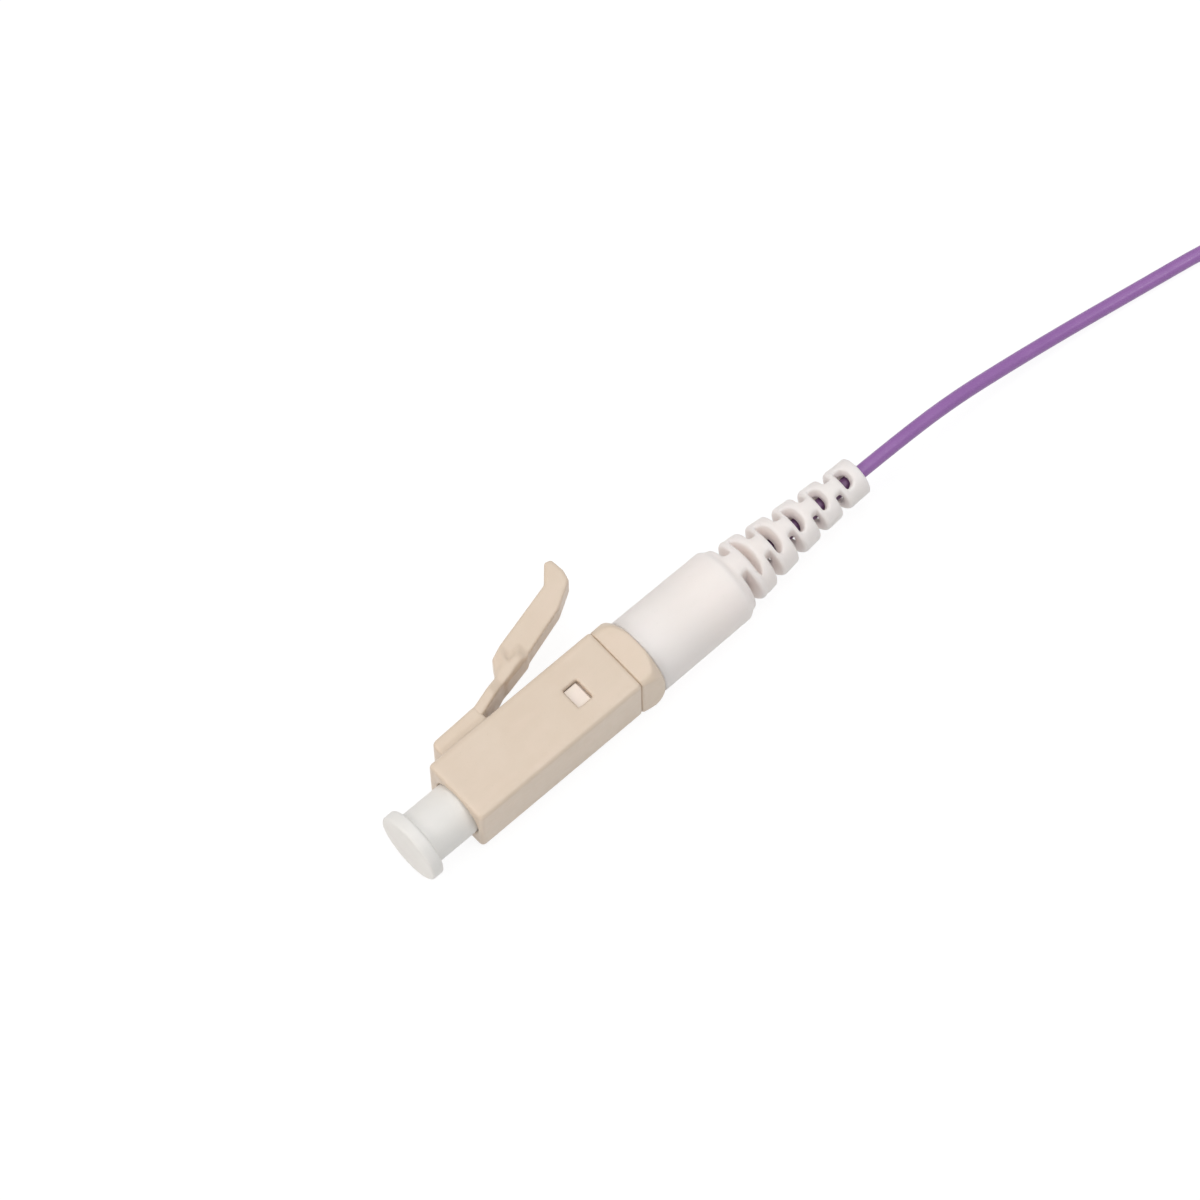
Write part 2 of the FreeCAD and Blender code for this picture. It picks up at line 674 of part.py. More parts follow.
def dust_cap():
    """The pull-off cap: a stem in the front socket, blind for the ferrule, with a flange to grip."""
    body = new_body("dust_cap")
    front = -(size("cap_stem") + size("cap_flange_thick"))
    stem = size("socket_bore") / 2 - size("cap_gap")
    hole = size("ferrule_diameter") / 2 + size("cap_gap")
    hole_end = -(size("ferrule_stand") + size("cap_hollow"))
    section = new_sketch(body, "CapSection", "XY_Plane")
    draw_outline(section, [(front, fixed(0)), (hole_end, fixed(0)), (hole_end, hole),
                           (size("cap_insert"), hole), (size("cap_insert"), stem),
                           (-size("cap_stem"), stem), (-size("cap_stem"), size("cap_flange") / 2),
                           (front, size("cap_flange") / 2)])
    revolve(body, "CapTurn", section)
    round_edges(body, "CapRim", size("cap_round"),
                lambda edge: near(edge.BoundBox.YMax, size("cap_flange") / 2)
                and edge.Curve.TypeId == "Part::GeomCircle")
    return body


def route_path(route):
    """Straight runs joined by tangent arcs, each as large as its two runs allow."""
    spots = [Vector(*spot) for spot in route]
    edges, radii, last = [], [], spots[0]
    for before, corner, after in zip(spots, spots[1:], spots[2:]):
        inward, outward = (before - corner), (after - corner)
        turn = math.pi - inward.getAngle(outward)
        cut = 0.45 * min(inward.Length, outward.Length)
        radii.append(cut / math.tan(turn / 2))
        inward.normalize()
        outward.normalize()
        start, stop = corner + inward * cut, corner + outward * cut
        half_way = (inward + outward).normalize()
        middle = corner + half_way * (radii[-1] / math.cos(turn / 2) - radii[-1])
        edges += [Part.LineSegment(last, start).toShape(), Part.Arc(start, middle, stop).toShape()]
        last = stop
    edges.append(Part.LineSegment(last, spots[-1]).toShape())
    return Part.Wire(edges), radii


def fibre_cord():
    """The free fibre from the boot's end to the coil."""
    radius = SIZES["buffer_diameter"] / 2
    path, radii = route_path(FIBRE_ROUTE)
    heading = Vector(*FIBRE_ROUTE[1]) - Vector(*FIBRE_ROUTE[0])
    ring = Part.Wire(Part.makeCircle(radius, Vector(*FIBRE_ROUTE[0]), heading))
    cord = doc.addObject("Part::Feature", "fibre_cord")
    cord.Label = "fibre_cord"
    cord.Shape = path.makePipeShell([ring], True, True)
    print("cord radii", [round(radius, 1) for radius in radii])
    print("cord length", round(path.Length, 2), "volume", round(cord.Shape.Volume, 4),
          "section times length", round(path.Length * math.pi * radius * radius, 4))
    return cord


def draw_rounded_box(sketch, low_across, high_across, low_up, high_up, corner):
    """A rectangle with arc corners whose arc centres and radius are tied to the sheet."""
    centres = [(high_across - corner, high_up - corner, 0), (low_across + corner, high_up - corner, 1),
               (low_across + corner, low_up + corner, 2), (high_across - corner, low_up + corner, 3)]
    arcs = []
    for across, up, quarter in centres:
        circle = Part.Circle(Vector(across.number, up.number, 0), Vector(0, 0, 1), corner.number)
        start = quarter * math.pi / 2
        arcs.append(sketch.addGeometry(Part.ArcOfCircle(circle, start, start + math.pi / 2), False))
        pin_point(sketch, arcs[-1], 3, across, up)
        rule = sketch.addConstraint(Sketcher.Constraint("Radius", arcs[-1], corner.number))
        sketch.setExpression(f"Constraints[{rule}]", corner.text)
    for arc, following in zip(arcs, arcs[1:] + arcs[:1]):
        geometry = sketch.Geometry
        side = Part.LineSegment(geometry[arc].EndPoint, geometry[following].StartPoint)
        line = sketch.addGeometry(side, False)
        sketch.addConstraint(Sketcher.Constraint("Tangent", arc, 2, line, 1))
        sketch.addConstraint(Sketcher.Constraint("Tangent", line, 2, following, 1))


def coil_section(sketch, thicker):
    """The bundle's rounded section beside the coil's axis, or one that much larger all round."""
    half = (size("buffer_diameter") * COIL_TURNS + size("coil_slack")) / 2
    bottom = fixed(FLOOR) + size("tie_thick")
    top = bottom + size("buffer_diameter") * COIL_LAYERS
    draw_rounded_box(sketch, size("coil_radius") - half - thicker, size("coil_radius") + half + thicker,
                     bottom - thicker, top + thicker, size("coil_round") + thicker)


def place_on_coil(body, angle=0.0):
    body.Placement = Placement(Vector(*COIL_CENTRE, 0), Rotation(Vector(0, 0, 1), angle))


def fibre_coil():
    """The outer shape of the rest of the fibre, wound up and lying on the surface."""
    body = new_body("fibre_coil")
    section = new_sketch(body, "CoilSection", "XZ_Plane")
    coil_section(section, fixed(0))
    revolve(body, "CoilTurn", section, axis="V_Axis")
    place_on_coil(body)
    return body


def coil_tie():
    """A thin band round the coil's turns at one place."""
    body = new_body("coil_tie")
    section = new_sketch(body, "TieSection", "XZ_Plane")
    coil_section(section, size("tie_thick"))
    coil_section(section, fixed(0))
    sweep_angle = size("tie_width") / size("coil_radius") * (180 / math.pi)
    revolve(body, "TieTurn", section, axis="V_Axis", angle=sweep_angle)
    place_on_coil(body, TIE_ANGLE)
    return body


MAKERS = [plug_housing, latch_arm, rear_collar, inner_body, ferrule, ferrule_flange, spring,
          glass_fibre, buffer_in_plug, boot, dust_cap, fibre_cord, fibre_coil, coil_tie]
pieces = [make() for make in MAKERS]
doc.recompute()

faults = [item.Label for item in doc.Objects
          if "Invalid" in item.State or "Error" in item.State]
faults += [piece.Label + " shape" for piece in pieces
           if piece.Shape.isNull() or not piece.Shape.isValid() or not piece.Shape.Solids]
if faults:
    raise SystemExit("failed: " + ", ".join(faults))

os.makedirs("parts", exist_ok=True)
for piece in pieces:
    box = piece.Shape.BoundBox
    print(f"{piece.Label:16} solids {len(piece.Shape.Solids)}  volume {piece.Shape.Volume:8.3f}"
          f"  x {box.XMin:7.2f} {box.XMax:7.2f}  y {box.YMin:7.2f} {box.YMax:6.2f}"
          f"  z {box.ZMin:6.2f} {box.ZMax:5.2f}")
    piece.Shape.exportStep(f"parts/{piece.Label}.step")
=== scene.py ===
"""The looks of an LC fibre plug on a 0.9 mm buffered fibre.

It makes the moulded pieces as fine meshes, their materials, the light and the camera. Lengths are worked
out in millimetres, in the frame of the CAD model, and written to the meshes in metres. X runs rearward
along the fibre from the housing's front face, Y points to the latch side, Z is up.
"""

import math

import bpy
import numpy as np
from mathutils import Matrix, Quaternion, Vector


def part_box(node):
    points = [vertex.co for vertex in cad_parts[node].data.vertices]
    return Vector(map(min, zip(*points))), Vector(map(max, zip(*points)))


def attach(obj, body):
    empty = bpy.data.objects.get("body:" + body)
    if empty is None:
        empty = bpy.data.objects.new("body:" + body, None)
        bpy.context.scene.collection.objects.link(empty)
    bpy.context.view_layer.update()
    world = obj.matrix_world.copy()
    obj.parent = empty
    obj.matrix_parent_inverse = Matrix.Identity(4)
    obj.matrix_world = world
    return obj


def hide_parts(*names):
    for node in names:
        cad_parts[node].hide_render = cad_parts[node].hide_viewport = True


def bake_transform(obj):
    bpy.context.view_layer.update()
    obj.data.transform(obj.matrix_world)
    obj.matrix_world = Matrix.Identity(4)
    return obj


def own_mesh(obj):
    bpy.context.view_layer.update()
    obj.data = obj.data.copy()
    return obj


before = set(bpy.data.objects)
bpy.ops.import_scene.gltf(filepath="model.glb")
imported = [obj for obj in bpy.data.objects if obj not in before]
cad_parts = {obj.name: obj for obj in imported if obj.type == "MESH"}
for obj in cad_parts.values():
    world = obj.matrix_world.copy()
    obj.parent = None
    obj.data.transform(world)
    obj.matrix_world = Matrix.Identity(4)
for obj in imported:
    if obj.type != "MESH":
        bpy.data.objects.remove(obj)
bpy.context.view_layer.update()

MM = 0.001


def extent(node):
    """Lowest and highest corner of a CAD node in millimetres."""
    low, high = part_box(node)
    return low / MM, high / MM


# ---------------------------------------------------------------- places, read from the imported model
housing_low, housing_high = extent("plug_housing")
collar_high = extent("rear_collar")[1]
boot_low, boot_high = extent("boot")
cap_low = extent("dust_cap")[0]
ferrule_low, ferrule_high = extent("ferrule")
spring_low, spring_high = extent("spring")
buffer_low, buffer_high = extent("buffer_in_plug")

HALF = -housing_low.y  # half the body's width
SEAM = housing_high.x  # where the collar meets the housing
COLLAR_REAR = collar_high.x
ROUND_END = collar_high.z  # radius of the collar's rear end and of the boot's barrel
BOOT_END = boot_high.x
FLOOR = boot_low.z

# ---------------------------------------------------------------- sizes of the moulded shapes, in mm
COARSE = 0.075  # grid steps
FINE = 0.055
FAR = 9.0  # a distance beyond any on the part

# housing
RISE = 0.3  # how much further the latch side stands out than the others
PLUG_EDGE = 0.35  # rounding of the long edges, the nose and the seam
NOSE_EDGE = 0.26
SEAM_EDGE = 0.05
SOCKET_RADIUS = 1.82
SOCKET_DEPTH = 2.8
SOCKET_LIP = 0.08
WEB_HOLE = 0.775
CAVITY_FRONT = 3.3
CAVITY_HALF = 1.7
CAVITY_CORNER = 0.1
WINDOW_MIDDLE = SEAM - 3.2
WINDOW_HALF = (0.565, 0.75)
WINDOW_LIP = 0.05

# the latch's root block on the housing
ROOT_FRONT = 1.22
ROOT_END = 4.8
ROOT_HALF = 1.55
ROOT_TOP = 3.68
ROOT_BOTTOM = 1.2  # it reaches down to here inside the housing's wall
ROOT_NOSE = 0.35
ROOT_EDGE = 0.13
ROOT_FILLET = 0.1
FLARE_TOP = 3.05
FLARE_HEIGHT = 1.0
FLARE_OUT = 0.62
FLARE_LEAN = 0.85  # true distance to the leaning sides, for one straight across

# latch arm and thumb pad
LEVER_FRONT = 3.6  # the arm's buried end
ARM_LOW = HALF + RISE + 0.47
ARM_TOP = ARM_LOW + 0.77
ARM_HALF = 1.25
ARM_EDGE = 0.15
ARM_FILLET = 0.3
TAPER_START = 6.2
RAMP_X = 7.0
PAD_HALF = 0.9
PAD_REAR = 14.85
PAD_TOP = 8.2
LEAN_REAR = (8.0, 0.4)  # where the arm's rear faces start to lean in, and over what length
LEAN_UPPER = (4.5, 0.3)
ROOT_SINK = 0.12  # how much thinner the buried end is
SINK_END = 0.08
SINK_LENGTH = 0.3

# collar
COLLAR_CORNER = 0.36
COLLAR_EDGE = 0.12
COLLAR_LIMITS = ((0.0, 3.13), (0.5, 3.15), (0.62, 3.13), (0.75, 3.03), (0.88, 2.85), (1.0, ROUND_END))
SEAM_GROOVE = (0.05, 0.09)  # width and depth
NECK_BORE = 1.73

# boot
TAIL_START = COLLAR_REAR + 7.4
TAIL_END_RADIUS = 1.3
TAIL_FLARE = 1.0
TAIL_CURVE = 1.6
BARREL_EDGE = (0.45, 0.6)  # the barrel's rounding starts so far before the tail, and its length
BARREL_DROP = (0.05, 0.31)  # how far the radius has dropped where it starts, and over its length
NECK_ROOM_END = 18.7
BUFFER_BORE = 0.66
SLOT_START = 0.55
SLOT_PITCH = 1.99
NOTCH_HALF = 0.25
NOTCH_WEBS = (0.81, 0.72, 0.59, 0.57, 0.55)  # half the web left between each pair of notches
NOTCH_RAMP = 0.16  # slope of the rear walls
NOTCH_SHORT = 0.06  # the straight cut stops this far before the rear wall
WINDOW_FRONTS = (1.31, 3.1, 5.08, 7.12, 9.16)
WINDOW_REACH = (0.55, 0.68, 0.7, 0.69, 0.72)  # length and half width at the skin
WINDOW_SIDES = (1.46, 1.16, 0.97, 0.82, 0.72)
WINDOW_RAMP = 0.32  # how fast both close in with depth, and the least they come to
WINDOW_LEAST = (0.05, 0.3)
WINDOW_POWER = 3  # between an oval, 2, and a rectangle
WINDOW_FLOOR = 0.15
LIP_SETBACK = 0.2  # the front wall's edge stays sharp
SHARP_LIP = 0.03
SOFT_LIP = 0.25

# spring, cap, ferrule and buffer
WIRE = 0.25
SPRING_PITCH = 0.75
SPRING_STEPS = 460
WIRE_SIDES = 12
CLOSED_ENDS = 1.12  # above 1, the end coils lie flat
CAP_RIM = 0.2
CAP_RING = 0.3  # an extra ring of points on the flat face, this far inside the rim
CAP_FILLET = 0.12
CAP_STEM = 1.79
CAP_STEM_LENGTH = 3.05
CAP_INSERT = 2.5
CAP_TIP = 0.15
CAP_HOLE = 0.655
CAP_HOLE_LIP = 0.1
CAP_HOLE_END = -2.0
FERRULE_BORE = 0.0625
BUFFER_RADIUS = 0.45
STRAND_HOLE = 0.12
BUFFER_OVERLAP = 0.4


# ---------------------------------------------------------------- solids as fields on a grid
class Grid:
    """A block of points in mm. A solid on it is an array of distances, negative inside."""

    def __init__(self, low, high, step):
        margin = 4 * step
        self.step = step
        self.low = np.array(low, float) - margin
        counts = np.ceil((np.array(high, float) + margin - self.low) / step).astype(int) + 1
        spots = [self.low[axis] + step * np.arange(counts[axis]) for axis in range(3)]
        self.x = spots[0][:, None, None]
        self.y = spots[1][None, :, None]
        self.z = spots[2][None, None, :]
        self.shape = tuple(counts)


def slab(values, low, high):
    """Distance to the space between two parallel planes."""
    return np.maximum(low - values, values - high)


def round_square(a, b, half, corner):
    """Distance to a square with round corners."""
    over_a, over_b = np.abs(a) - (half - corner), np.abs(b) - (half - corner)
    outside = np.hypot(np.maximum(over_a, 0), np.maximum(over_b, 0))
    return outside + np.minimum(np.maximum(over_a, over_b), 0) - corner


def outline(across, up, corners):
    """Distance to a closed outline of straight lines."""
    across, up = np.broadcast_arrays(across, up)
    nearest = np.full(across.shape, 1e9)
    inside = np.zeros(across.shape, bool)
    for (ax, ay), (bx, by) in zip(corners, corners[1:] + corners[:1]):
        run, rise = bx - ax, by - ay
        from_x, from_y = across - ax, up - ay
        share = np.clip((from_x * run + from_y * rise) / (run * run + rise * rise), 0, 1)
        nearest = np.minimum(nearest, (from_x - run * share) ** 2 + (from_y - rise * share) ** 2)
        if ay != by:
            crosses = (ay > up) != (by > up)
            inside ^= crosses & (across < run * (up - ay) / rise + ax)
    return np.where(inside, -1.0, 1.0) * np.sqrt(nearest)


def eased(share):
    """A share from 0 to 1 that starts and ends gently."""
    return share * share * (3 - 2 * share)


def meet(one, other, radius=0.0):
    """What is inside both, with the edge between them rounded."""
    if not radius:
        return np.maximum(one, other)
    corner = np.hypot(np.maximum(radius + one, 0), np.maximum(radius + other, 0))
    return np.minimum(-radius, np.maximum(one, other)) + corner


def join(one, other, radius=0.0):
    """What is inside either, with the hollow between them filled by a fillet."""
    if not radius:
        return np.minimum(one, other)
    corner = np.hypot(np.maximum(radius - one, 0), np.maximum(radius - other, 0))
    return np.maximum(radius, np.minimum(one, other)) - corner


def cut(one, other, radius=0.0):
    """What is inside the first and outside the other, with the edge rounded."""
    return meet(one, -other, radius)


def soften(field, passes):
    """Rounds every edge a little, outward and inward alike. Flat faces stay where they are."""
    for _ in range(passes):
        for axis in range(3):
            first, last = np.take(field, [0], axis), np.take(field, [-1], axis)
            padded = np.concatenate([first, field, last], axis)
            count = field.shape[axis]
            before, here, after = (np.take(padded, range(k, k + count), axis) for k in range(3))
            field = 0.25 * before + 0.5 * here + 0.25 * after
    return field


CELL_CORNERS = [(i, j, k) for i in (0, 1) for j in (0, 1) for k in (0, 1)]
CELL_EDGES = [(a, b) for a in CELL_CORNERS for b in CELL_CORNERS
              if a < b and sum(abs(p - q) for p, q in zip(a, b)) == 1]


def skin(grid, field):
    """Points and four-sided faces of a field's surface: one point in each cell that it crosses."""
    field = np.broadcast_to(field, grid.shape)
    inside = field < 0
    cells = tuple(count - 1 for count in grid.shape)
    held = np.zeros(cells, np.int8)
    for i, j, k in CELL_CORNERS:
        held += inside[i:i + cells[0], j:j + cells[1], k:k + cells[2]]
    active = np.argwhere((held > 0) & (held < 8))
    total, hits = np.zeros((len(active), 3)), np.zeros(len(active))
    for first, second in CELL_EDGES:
        one = field[tuple((active + first).T)]
        two = field[tuple((active + second).T)]
        crossed = (one < 0) != (two < 0)
        share = np.where(crossed, one / np.where(crossed, one - two, 1.0), 0.0)
        spot = np.array(first) + share[:, None] * (np.array(second) - np.array(first))
        total += np.where(crossed[:, None], spot, 0.0)
        hits += crossed
    points = grid.low + grid.step * (active + total / hits[:, None])
    index = np.full(cells, -1, np.int64)
    index[tuple(active.T)] = np.arange(len(active))
    faces = []
    for axis in range(3):
        low_end = [slice(None)] * 3
        high_end = [slice(None)] * 3
        low_end[axis], high_end[axis] = slice(0, -1), slice(1, None)
        one, two = inside[tuple(low_end)], inside[tuple(high_end)]
        spots = np.argwhere(one != two)
        leaving = one[tuple(spots.T)]
        side, other = [k for k in range(3) if k != axis]
        if axis == 1:
            side, other = other, side
        ring = []
        for back_side, back_other in ((1, 1), (0, 1), (0, 0), (1, 0)):
            cell = spots.copy()
            cell[:, side] -= back_side
            cell[:, other] -= back_other
            ring.append(index[tuple(cell.T)])
        quads = np.stack(ring, 1)
        quads[~leaving] = quads[~leaving][:, ::-1]
        faces.append(quads)
    return points, np.concatenate(faces)


def mesh_piece(name, points, faces, material):
    """A new piece from points in mm."""
    mesh = bpy.data.meshes.new(name)
    places = (np.asarray(points, float) * MM).tolist()
    mesh.from_pydata(places, [], [list(map(int, face)) for face in faces])
    mesh.validate()
    mesh.materials.append(material)
    mesh.polygons.foreach_set("use_smooth", [True] * len(mesh.polygons))
    mesh.update()
    piece = bpy.data.objects.new(name, mesh)
    bpy.context.scene.collection.objects.link(piece)
    return piece


def field_piece(name, grid, field, material):
    """A new piece with the surface of a field."""
    points, faces = skin(grid, field)
    return mesh_piece(name, points, faces, material)


def arc_points(centre, radius, start, stop, steps):
    """Points on an arc in the section's plane, angles in degrees."""
    turns = [math.radians(start + (stop - start) * step / steps) for step in range(steps + 1)]
    across, up = centre
    return [(across + radius * math.cos(turn), up + radius * math.sin(turn)) for turn in turns]


def ring_faces(rings, sides, closed):
    """Faces from each ring of points to the next, and from the last to the first when closed."""
    faces = []
    for ring in range(rings if closed else rings - 1):
        first, second = ring * sides, (ring + 1) % rings * sides
        for side in range(sides):
            after = (side + 1) % sides
            faces.append((first + side, first + after, second + after, second + side))
    return faces


def turned(name, section, material, sides=96, closed=True, sharp=40):
    """A piece turned about X from (x, radius) corners. Edges over so many degrees stay sharp."""
    points, faces, rings = [], [], []
    for x, radius in section:
        if radius < 1e-6:
            rings.append([len(points)])
            points.append((x, 0.0, 0.0))
            continue
        rings.append(list(range(len(points), len(points) + sides)))
        for side in range(sides):
            turn = 2 * math.pi * side / sides
            points.append((x, radius * math.cos(turn), radius * math.sin(turn)))
    following = rings[1:] + rings[:1] if closed else rings[1:]
    for one, two in zip(rings, following):
        for side in range(sides):
            after = (side + 1) % sides
            if len(one) == 1 and len(two) == 1:
                continue
            if len(one) == 1:
                faces.append((one[0], two[after], two[side]))
            elif len(two) == 1:
                faces.append((one[side], one[after], two[0]))
            else:
                faces.append((one[side], one[after], two[after], two[side]))
    piece = mesh_piece(name, points, faces, material)
    piece.data.set_sharp_from_angle(angle=math.radians(sharp))
    return piece


# ---------------------------------------------------------------- materials
def linear(red, green, blue):
    """A colour from the usual 0 to 255 numbers, as light."""
    def convert(part):
        part /= 255
        return part / 12.92 if part <= 0.04045 else ((part + 0.055) / 1.055) ** 2.4

    return (convert(red), convert(green), convert(blue), 1.0)


def darker(colour, share):
    """A linear colour with so much of its light left."""
    return tuple(share * part for part in colour[:3]) + (1.0,)


class Painter:
    """Builds one material's nodes around its main shader."""

    def __init__(self, name, roughness, specular=0.5):
        self.material = bpy.data.materials.new(name)
        self.material.use_nodes = True
        self.tree = self.material.node_tree
        self.shader = self.tree.nodes["Principled BSDF"]
        self.shader.inputs["Roughness"].default_value = roughness
        self.shader.inputs["Specular IOR Level"].default_value = specular
        place = self.tree.nodes.new("ShaderNodeTexCoord")
        self.place = self.tree.nodes.new("ShaderNodeMapping")
        self.place.inputs["Scale"].default_value = (1 / MM, 1 / MM, 1 / MM)
        self.link(place.outputs["Object"], self.place.inputs["Vector"])

    def link(self, source, target):
        self.tree.links.new(source, target)

    def noise(self, per_mm, detail=3.0, stretch=None, rough=0.5):
        """Noise with about so many lumps to the millimetre."""
        vector = self.place.outputs["Vector"]
        if stretch is not None:
            scale = self.tree.nodes.new("ShaderNodeVectorMath")
            scale.operation = "MULTIPLY"
            scale.inputs[1].default_value = stretch
            self.link(vector, scale.inputs[0])
            vector = scale.outputs["Vector"]
        noise = self.tree.nodes.new("ShaderNodeTexNoise")
        noise.inputs["Scale"].default_value = per_mm
        noise.inputs["Detail"].default_value = detail
        noise.inputs["Roughness"].default_value = rough
        self.link(vector, noise.inputs["Vector"])
        return noise.outputs["Fac"]

    def spread(self, source, low, high, from_low=0.3, from_high=0.7):
        """The source's middle range stretched to run from low to high."""
        range_node = self.tree.nodes.new("ShaderNodeMapRange")
        range_node.inputs["From Min"].default_value = from_low
        range_node.inputs["From Max"].default_value = from_high
        range_node.inputs["To Min"].default_value = low
        range_node.inputs["To Max"].default_value = high
        self.link(source, range_node.inputs["Value"])
        return range_node.outputs["Result"]

    def mix(self, factor, one, two):
        """One colour to the other. Each is a colour or a socket."""
        mix = self.tree.nodes.new("ShaderNodeMix")
        mix.data_type = "RGBA"
        self.link(factor, mix.inputs["Factor"])
        for socket, value in ((mix.inputs["A"], one), (mix.inputs["B"], two)):
            if isinstance(value, tuple):
                socket.default_value = value
            else:
                self.link(value, socket)
        return mix.outputs["Result"]

    def colour(self, value):
        self.link(value, self.shader.inputs["Base Color"])

    def roughness(self, value):
        self.link(value, self.shader.inputs["Roughness"])

    def bump(self, height, depth_mm, strength=1.0, below=None):
        """Small relief on the surface, over another one when it is given."""
        bump = self.tree.nodes.new("ShaderNodeBump")
        bump.inputs["Strength"].default_value = strength
        bump.inputs["Distance"].default_value = depth_mm * MM
        self.link(height, bump.inputs["Height"])
        if below is not None:
            self.link(below, bump.inputs["Normal"])
        self.link(bump.outputs["Normal"], self.shader.inputs["Normal"])
        return bump.outputs["Normal"]


def moulded(name, main, shade, warm, roughness, grain_mm, scatter=0.0, depth_mm=0.9):
    """A moulded plastic: slow colour drift, a faint warm flow, satin grain and uneven gloss."""
    paint = Painter(name, roughness)
    drift = paint.spread(paint.noise(per_mm=0.35, detail=2.0), 0.0, 1.0)
    streaks = paint.noise(per_mm=0.9, detail=3.0, stretch=(0.35, 1.0, 1.0))
    flow = paint.spread(streaks, 0.0, 0.6, from_low=0.45, from_high=0.75)
    speck = paint.spread(paint.noise(per_mm=9.0, detail=2.0), 0.0, 0.35, from_low=0.66, from_high=0.8)
    tinted = paint.mix(drift, linear(*main), linear(*shade))
    tinted = paint.mix(flow, tinted, linear(*warm))
    paint.colour(paint.mix(speck, tinted, darker(linear(*shade), 0.82)))
    uneven = paint.noise(per_mm=2.2, detail=4.0)
    paint.roughness(paint.spread(uneven, roughness - 0.06, roughness + 0.08))
    fine = paint.bump(paint.noise(per_mm=14.0, detail=4.0, rough=0.6), grain_mm, strength=0.5)
    paint.bump(paint.noise(per_mm=1.6, detail=2.0), grain_mm * 2.5, strength=0.35, below=fine)
    if scatter:
        paint.shader.inputs["Subsurface Weight"].default_value = scatter
        paint.shader.inputs["Subsurface Radius"].default_value = (depth_mm * MM,) * 3
        paint.shader.inputs["Subsurface Scale"].default_value = 1.0
    return paint.material


beige = moulded("beige_plastic", (223, 206, 187), (220, 202, 182), (227, 208, 190),
                roughness=0.38, grain_mm=0.004, scatter=0.08)
boot_white = moulded("boot_plastic", (250, 239, 235), (248, 237, 232), (252, 238, 235),
                     roughness=0.5, grain_mm=0.006, scatter=0.9, depth_mm=1.0)
cap_white = moulded("cap_plastic", (236, 234, 230), (232, 230, 226), (238, 235, 232),
                    roughness=0.42, grain_mm=0.003, scatter=0.25)
tab_white = moulded("white_plastic", (243, 231, 220), (238, 226, 214), (245, 230, 222),
                    roughness=0.4, grain_mm=0.003)
tie_clear = moulded("tie_plastic", (232, 232, 228), (226, 227, 224), (236, 234, 229),
                    roughness=0.3, grain_mm=0.002)


def buffer_plastic(name, main, shade, scuffed):
    """The fibre's tight buffer: smooth, a little glossy, with faint scuffs."""
    paint = Painter(name, roughness=0.36)
    drift = paint.spread(paint.noise(per_mm=0.5, detail=2.0), 0.0, 1.0)
    scuff = paint.spread(paint.noise(per_mm=5.0, detail=3.0), 0.0, 0.5, from_low=0.6, from_high=0.75)
    tinted = paint.mix(drift, linear(*main), linear(*shade))
    paint.colour(paint.mix(scuff, tinted, linear(*scuffed)))
    paint.roughness(paint.spread(paint.noise(per_mm=3.0, detail=3.0), 0.3, 0.44))
    paint.bump(paint.noise(per_mm=6.0, detail=3.0), 0.004, strength=0.4)
    return paint.material


def metal(name, colour, roughness, grain):
    """A turned metal with faint rings across its axis, so many to the millimetre."""
    paint = Painter(name, roughness)
    paint.shader.inputs["Metallic"].default_value = 1.0
    rings = paint.noise(per_mm=grain, detail=3.0, stretch=(1.0, 0.08, 0.08))
    dull = darker(linear(*colour), 0.86)
    paint.colour(paint.mix(paint.spread(rings, 0.0, 1.0), linear(*colour), dull))
    paint.roughness(paint.spread(rings, roughness - 0.05, roughness + 0.08))
    paint.bump(rings, 0.002, strength=0.4)
    return paint.material


def ceramic():
    """Zirconia: ivory white and polished, with a trace of lapping marks."""
    paint = Painter("ceramic", roughness=0.12, specular=0.7)
    marks = paint.noise(per_mm=11.0, detail=3.0, stretch=(1.0, 0.1, 0.1))
    drift = paint.spread(paint.noise(per_mm=1.5, detail=2.0), 0.0, 1.0)
    paint.colour(paint.mix(drift, linear(240, 238, 230), linear(233, 230, 221)))
    paint.roughness(paint.spread(marks, 0.08, 0.16))
    paint.bump(marks, 0.0008, strength=0.3)
    return paint.material


def glass():
    """The bare glass strand: pale and glossy, slightly uneven."""
    paint = Painter("glass_core", roughness=0.05)
    tint = paint.noise(per_mm=20.0)
    paint.colour(paint.mix(tint, linear(205, 212, 216), linear(190, 199, 205)))
    paint.roughness(paint.spread(paint.noise(per_mm=12.0), 0.03, 0.09))
    return paint.material


buffer_purple = buffer_plastic("purple_buffer", (152, 104, 171), (145, 97, 165), (163, 118, 180))
# painted shade: the same purple buffer made darker for the run inside the plug and boot, standing in for
# the shadow there
buffer_shaded = buffer_plastic("purple_buffer_painted_shade", (112, 74, 116), (102, 68, 108), (120, 84, 124))
nickel = metal("nickel", (196, 192, 184), roughness=0.24, grain=9.0)
spring_steel = metal("spring_steel", (176, 174, 170), roughness=0.3, grain=14.0)
zirconia = ceramic()
glass_core = glass()


# ---------------------------------------------------------------- housing
def raised(y):
    """The +Y side stands out by the rise: above the middle, places are measured from there."""
    return np.where(y > RISE, y - RISE, np.minimum(y, 0.0))


def root_top(x):
    """Height of the root block's top: a slight rise towards the arm."""
    return ROOT_TOP + (ARM_TOP - ROOT_TOP) * (x - ROOT_FRONT) / (ROOT_END - ROOT_FRONT)


def root_block(grid):
    """The latch's root, whose sides flare out into the housing's sides."""
    half = ROOT_HALF + FLARE_OUT * eased(np.clip((FLARE_TOP - grid.y) / FLARE_HEIGHT, 0, 1))
    sides = (np.abs(grid.z) - half) * FLARE_LEAN
    front = meet(ROOT_FRONT - grid.x, grid.y - root_top(grid.x), ROOT_NOSE)
    body = meet(front, sides, ROOT_EDGE)
    return np.maximum(body, np.maximum(grid.x - ROOT_END, ROOT_BOTTOM - grid.y))


